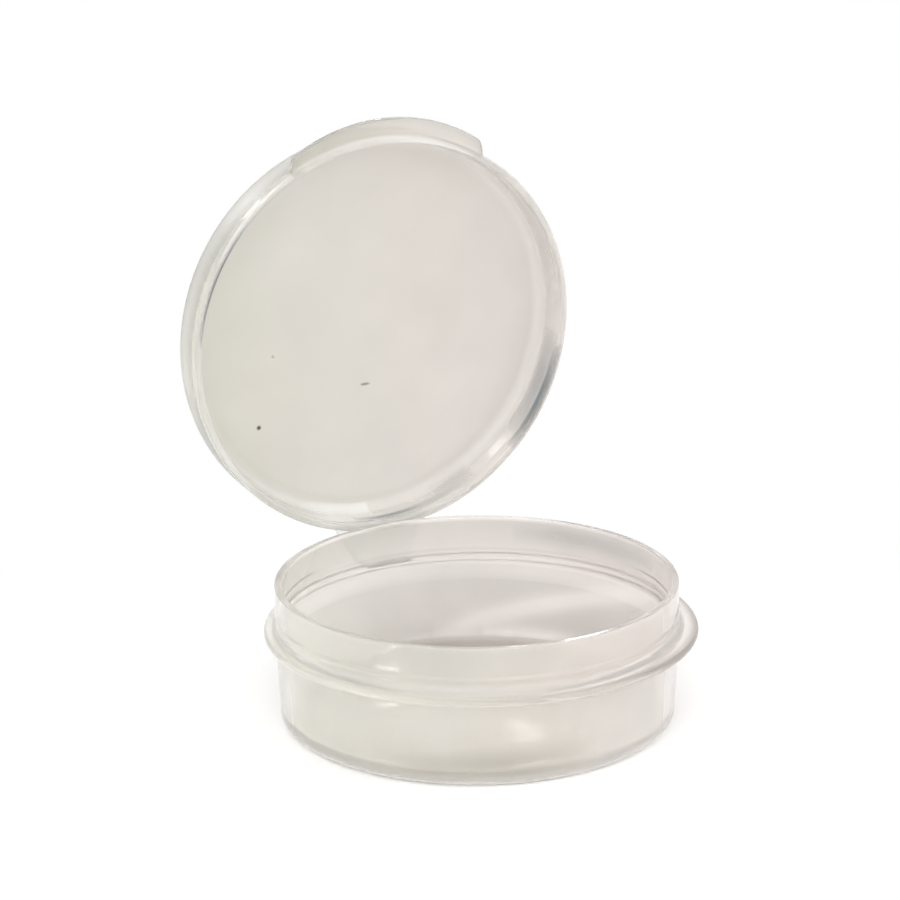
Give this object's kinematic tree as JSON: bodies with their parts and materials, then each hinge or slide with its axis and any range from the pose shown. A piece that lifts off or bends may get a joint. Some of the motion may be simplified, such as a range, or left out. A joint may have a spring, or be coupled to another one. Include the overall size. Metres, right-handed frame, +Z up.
{
  "type": "hinged coin capsule",
  "caption": "Clear round plastic capsule that keeps a coin: a cup with a raised neck and an off-centre flange, and a slip-over lid with a finger tab on a bendable strap hinge.",
  "frame": {"origin": "middle of the cup's flat underside, where it stands", "axes": "+Z up through the cup's mouth, +Y towards the hinge, -Y towards the front of the flange; X is across, along the hinge's fold line"},
  "size_m": [0.043, 0.0486, 0.0569],
  "materials": {
    "clear_plastic": "clear, faintly milky polypropylene with a glossy moulded skin",
    "strap_plastic": "the same clear polypropylene, thinner and a little cloudier where it bends"
  },
  "bodies": {
    "base": {"base_cup": "clear_plastic", "rim_flange": "clear_plastic", "hinge_strap_base": "strap_plastic"},
    "lid": {"hinge_strap_lid": "strap_plastic", "lid_cap": "clear_plastic", "lid_tab": "clear_plastic"}
  },
  "joints": [
    {"name": "lid_hinge", "type": "hinge", "parent": "base", "child": "lid", "pos_m": [0, 0.02273, 0.01131], "axis": [-1, 0, 0], "range_deg": [-86.2, 93.8]}
  ]
}
